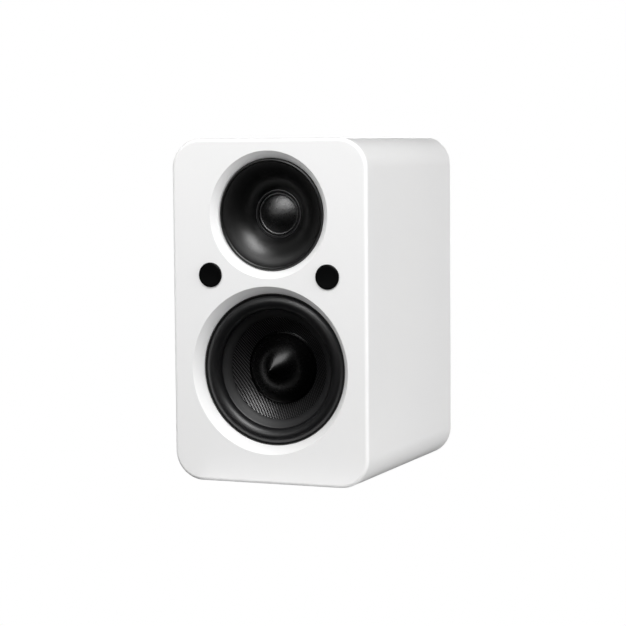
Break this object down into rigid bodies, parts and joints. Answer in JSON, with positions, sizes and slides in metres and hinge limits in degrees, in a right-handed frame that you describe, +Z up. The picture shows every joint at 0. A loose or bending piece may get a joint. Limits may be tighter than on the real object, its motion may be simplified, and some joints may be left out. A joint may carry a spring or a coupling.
{
  "type": "bookshelf speaker",
  "caption": "Compact two-way bookshelf speaker: round-cornered white cabinet, flared recesses, woven woofer below a horn-loaded dome tweeter, rear port and binding posts.",
  "frame": {"origin": "centre of the underside, on the surface that the rubber feet stand on", "axes": "+Z up, the front baffle faces -Y, +X to the right as the front is looked at"},
  "size_m": [0.14, 0.1712, 0.2315],
  "materials": {
    "white_lacquer": "satin white lacquer on fibreboard",
    "bare_board": "raw fibreboard",
    "felt": "grey felt",
    "foam_seal": "closed-cell foam",
    "foot_rubber": "matte",
    "black_screw": "black zinc",
    "cast_basket": "black powder coat",
    "roll_rubber": "satin black rubber",
    "woven_fibre": "black woven fibre",
    "cap_plastic": "satin black",
    "former_film": "amber film",
    "copper_winding": "enamelled copper",
    "spider_cloth": "impregnated cloth",
    "plate_steel": "zinc plated",
    "ferrite": "ground ferrite",
    "tag_board": "phenolic board",
    "guide_plastic": "satin black",
    "throat_trim": "gloss black",
    "dome_cloth": "coated black cloth",
    "catch_black": "satin black",
    "magnet_nickel": "nickel plated",
    "port_plastic": "fine texture black",
    "cup_plastic": "fine texture black",
    "post_brass": "gold plated",
    "positive_red": "red",
    "negative_black": "black",
    "circuit_board": "solder mask",
    "nylon": "natural nylon",
    "film_yellow": "yellow film",
    "can_sleeve": "blue sleeve",
    "ceramic": "white ceramic",
    "lead_sleeve": "vinyl sleeve"
  },
  "bodies": {
    "cabinet": {"attenuator_resistor": "ceramic", "board_screws": "black_screw", "board_standoffs": "nylon", "cabinet_shell": "white_lacquer", "catch_magnets": "magnet_nickel", "crossover_board": "circuit_board", "cup_screws": "black_screw", "damping_lining": "felt", "front_baffle": "white_lacquer", "grille_catch_left": "catch_black", "grille_catch_right": "catch_black", "high_pass_capacitor": "film_yellow", "high_pass_coil": "copper_winding", "input_leads": "lead_sleeve", "low_pass_capacitor": "can_sleeve", "low_pass_coil": "copper_winding", "port_tube": "port_plastic", "post_collar_negative": "negative_black", "post_collar_positive": "positive_red", "post_hex_nuts": "plate_steel", "post_stud_negative": "post_brass", "post_stud_positive": "post_brass", "rear_panel": "white_lacquer", "rear_panel_screws": "black_screw", "rear_panel_seal": "foam_seal", "rubber_feet": "foot_rubber", "terminal_cup": "cup_plastic", "tweeter_gasket": "foam_seal", "tweeter_leads": "lead_sleeve", "tweeter_magnet": "ferrite", "tweeter_screws": "black_screw", "tweeter_surround": "dome_cloth", "tweeter_terminal_strip": "tag_board", "tweeter_throat_ring": "throat_trim", "tweeter_top_plate": "plate_steel", "tweeter_waveguide": "guide_plastic", "tweeter_yoke": "plate_steel", "window_brace": "bare_board", "woofer_frame": "cast_basket", "woofer_gasket": "foam_seal", "woofer_leads": "lead_sleeve", "woofer_magnet": "ferrite", "woofer_screws": "black_screw", "woofer_spider": "spider_cloth", "woofer_surround": "roll_rubber", "woofer_terminal_strip": "tag_board", "woofer_top_plate": "plate_steel", "woofer_yoke": "plate_steel"},
    "woofer_diaphragm": {"woofer_cone": "woven_fibre", "woofer_dust_cap": "cap_plastic", "woofer_coil_former": "former_film", "woofer_voice_coil": "copper_winding"},
    "tweeter_diaphragm": {"tweeter_dome": "dome_cloth", "tweeter_coil_former": "former_film", "tweeter_voice_coil": "copper_winding"},
    "positive_washer": {"post_washer_positive": "post_brass"},
    "positive_nut": {"post_nut_positive": "positive_red"},
    "negative_washer": {"post_washer_negative": "post_brass"},
    "negative_nut": {"post_nut_negative": "negative_black"}
  },
  "joints": [
    {"name": "woofer_travel", "type": "slide", "parent": "cabinet", "child": "woofer_diaphragm", "axis": [0, -1, 0], "range_m": [-0.003, 0.003], "stiffness_N_per_m": 1100, "deforming": ["woofer_surround", "woofer_spider"]},
    {"name": "tweeter_travel", "type": "slide", "parent": "cabinet", "child": "tweeter_diaphragm", "axis": [0, -1, 0], "range_m": [-0.0004, 0.0004], "stiffness_N_per_m": 1500, "deforming": ["tweeter_surround"]},
    {"name": "positive_washer_slide", "type": "slide", "parent": "cabinet", "child": "positive_washer", "axis": [0, 1, 0], "range_m": [0, 0.005]},
    {"name": "positive_nut_spin", "type": "hinge", "parent": "positive_washer", "child": "positive_nut", "pos_m": [0.00953, 0.0729, 0.0715], "axis": [0, 1, 0], "range_deg": [0, 1800]},
    {"name": "negative_washer_slide", "type": "slide", "parent": "cabinet", "child": "negative_washer", "axis": [0, 1, 0], "range_m": [0, 0.005]},
    {"name": "negative_nut_spin", "type": "hinge", "parent": "negative_washer", "child": "negative_nut", "pos_m": [-0.00953, 0.0729, 0.0715], "axis": [0, 1, 0], "range_deg": [0, 1800]}
  ],
  "couplings": [
    {"joint": "positive_nut_spin", "follows": "positive_washer_slide", "rad_per_m": 6283.2},
    {"joint": "negative_nut_spin", "follows": "negative_washer_slide", "rad_per_m": 6283.2}
  ]
}
